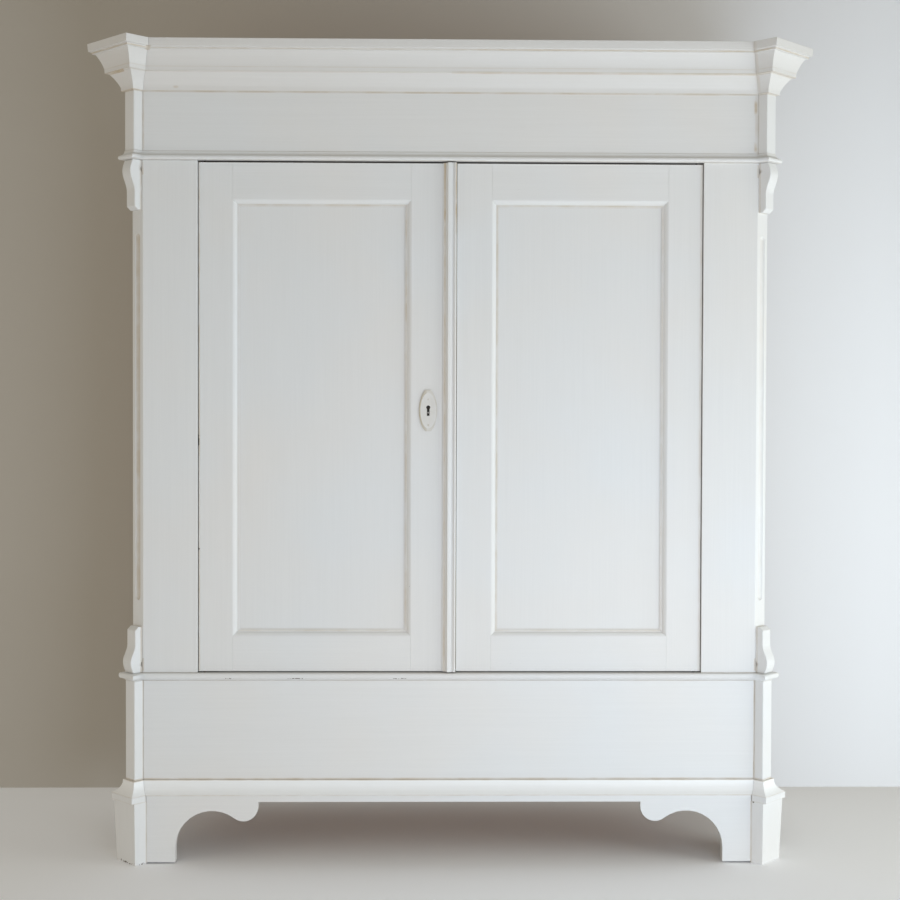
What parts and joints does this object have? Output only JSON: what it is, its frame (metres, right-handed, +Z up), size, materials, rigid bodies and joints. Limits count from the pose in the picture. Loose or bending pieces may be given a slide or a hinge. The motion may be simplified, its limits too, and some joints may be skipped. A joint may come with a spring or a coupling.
{
  "type": "wardrobe",
  "caption": "Painted wooden wardrobe with two panelled doors, canted fluted corners with carved brackets, a deep moulded cornice, a boarded base on bracket feet, a hat shelf and a hanging rail",
  "frame": {"origin": "on the floor, under the middle of the overall width and depth", "axes": "+Z up; the doors face -Y; +X to the right of someone who stands before the doors"},
  "size_m": [1.7252, 0.6261, 1.942],
  "materials": {
    "painted_wood": "old brushed white paint with a yellowed glaze in the mouldings",
    "bare_pine": "unfinished aged pine",
    "dark_iron": "dull dark wrought iron"
  },
  "bodies": {
    "carcass": {"base_moulding_front": "painted_wood", "base_moulding_left": "painted_wood", "base_moulding_right": "painted_wood", "base_front_board": "painted_wood", "base_side_left": "painted_wood", "base_side_right": "painted_wood", "base_corner_block_left": "painted_wood", "base_corner_block_right": "painted_wood", "front_apron": "painted_wood", "side_apron_left": "painted_wood", "side_apron_right": "painted_wood", "front_foot_left": "painted_wood", "front_foot_right": "painted_wood", "lower_ledge": "painted_wood", "corner_stile_left": "painted_wood", "corner_stile_right": "painted_wood", "side_panel_left": "painted_wood", "side_panel_right": "painted_wood", "upper_console_left": "painted_wood", "upper_console_right": "painted_wood", "lower_console_left": "painted_wood", "lower_console_right": "painted_wood", "upper_ledge": "painted_wood", "frieze_board": "painted_wood", "frieze_side_left": "painted_wood", "frieze_side_right": "painted_wood", "frieze_corner_block_left": "painted_wood", "frieze_corner_block_right": "painted_wood", "cornice_front": "painted_wood", "cornice_left": "painted_wood", "cornice_right": "painted_wood", "floor_panel": "bare_pine", "back_board_1": "bare_pine", "back_board_2": "bare_pine", "back_board_3": "bare_pine", "hat_shelf": "bare_pine", "shelf_bearer_left": "bare_pine", "shelf_bearer_right": "bare_pine", "hanging_rail": "bare_pine", "top_board": "bare_pine"},
    "left_door": {"left_hinge_stile": "painted_wood", "left_meeting_stile": "painted_wood", "left_top_rail": "painted_wood", "left_bottom_rail": "painted_wood", "left_panel": "painted_wood", "closing_strip": "painted_wood", "escutcheon": "painted_wood", "lock_case": "dark_iron", "left_top_pivot": "dark_iron", "left_bottom_pivot": "dark_iron"},
    "right_door": {"right_hinge_stile": "painted_wood", "right_meeting_stile": "painted_wood", "right_top_rail": "painted_wood", "right_bottom_rail": "painted_wood", "right_panel": "painted_wood", "right_top_pivot": "dark_iron", "right_bottom_pivot": "dark_iron"},
    "lock_bolt": {"lock_bolt": "dark_iron"},
    "top_bolt": {"top_bolt": "dark_iron"},
    "bottom_bolt": {"bottom_bolt": "dark_iron"}
  },
  "joints": [
    {"name": "left_door_hinge", "type": "hinge", "parent": "carcass", "child": "left_door", "pos_m": [-0.5855, -0.1957, 1], "axis": [0, 0, -1], "range_deg": [0, 115]},
    {"name": "right_door_hinge", "type": "hinge", "parent": "carcass", "child": "right_door", "pos_m": [0.5855, -0.1957, 1], "axis": [0, 0, 1], "range_deg": [0, 115]},
    {"name": "lock_bolt_slide", "type": "slide", "parent": "left_door", "child": "lock_bolt", "axis": [1, 0, 0], "range_m": [0, 0.01]},
    {"name": "top_bolt_slide", "type": "slide", "parent": "right_door", "child": "top_bolt", "axis": [0, 0, 1], "range_m": [0, 0.014]},
    {"name": "bottom_bolt_slide", "type": "slide", "parent": "right_door", "child": "bottom_bolt", "axis": [0, 0, -1], "range_m": [0, 0.014]}
  ]
}
